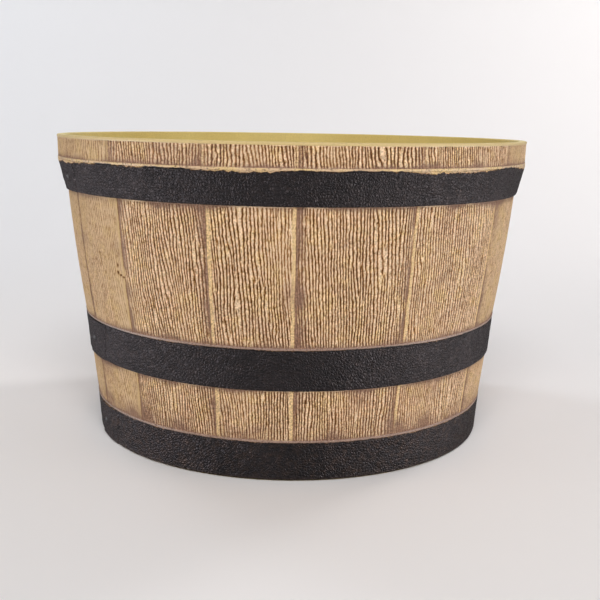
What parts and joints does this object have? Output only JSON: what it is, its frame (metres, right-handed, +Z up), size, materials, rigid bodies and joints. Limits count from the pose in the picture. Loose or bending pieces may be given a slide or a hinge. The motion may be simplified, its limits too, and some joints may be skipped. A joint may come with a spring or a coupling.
{
  "type": "barrel planter",
  "caption": "Round half-barrel planter: moulded tub with wood-grain staves, black riveted hoops, an open top and lift-out drain plugs in its floor.",
  "frame": {"origin": "on the ground under the middle of the tub", "axes": "+Z up along the tub's axis; the pictured front faces -Y, and +X is to its right"},
  "size_m": [0.5599, 0.56, 0.352],
  "materials": {
    "grained_resin": "matt hand-painted resin with a raised wood grain, smooth yellow inside",
    "hoop_black": "satin black paint over a pebbled relief",
    "rivet_black": "satin black paint, worn on the dome",
    "plug_rubber": "matt dark rubber"
  },
  "bodies": {
    "tub": {"tub_shell": "grained_resin", "top_hoop": "hoop_black", "middle_hoop": "hoop_black", "bottom_hoop": "hoop_black", "top_hoop_rivet": "rivet_black", "middle_hoop_rivet": "rivet_black", "bottom_hoop_rivet": "rivet_black"},
    "plug_1": {"drain_plug_1": "plug_rubber"},
    "plug_2": {"drain_plug_2": "plug_rubber"},
    "plug_3": {"drain_plug_3": "plug_rubber"}
  },
  "joints": [
    {"name": "plug_1_lift", "type": "slide", "parent": "tub", "child": "plug_1", "axis": [0, 0, 1], "range_m": [0, 0.04]},
    {"name": "plug_2_lift", "type": "slide", "parent": "tub", "child": "plug_2", "axis": [0, 0, 1], "range_m": [0, 0.04]},
    {"name": "plug_3_lift", "type": "slide", "parent": "tub", "child": "plug_3", "axis": [0, 0, 1], "range_m": [0, 0.04]}
  ]
}
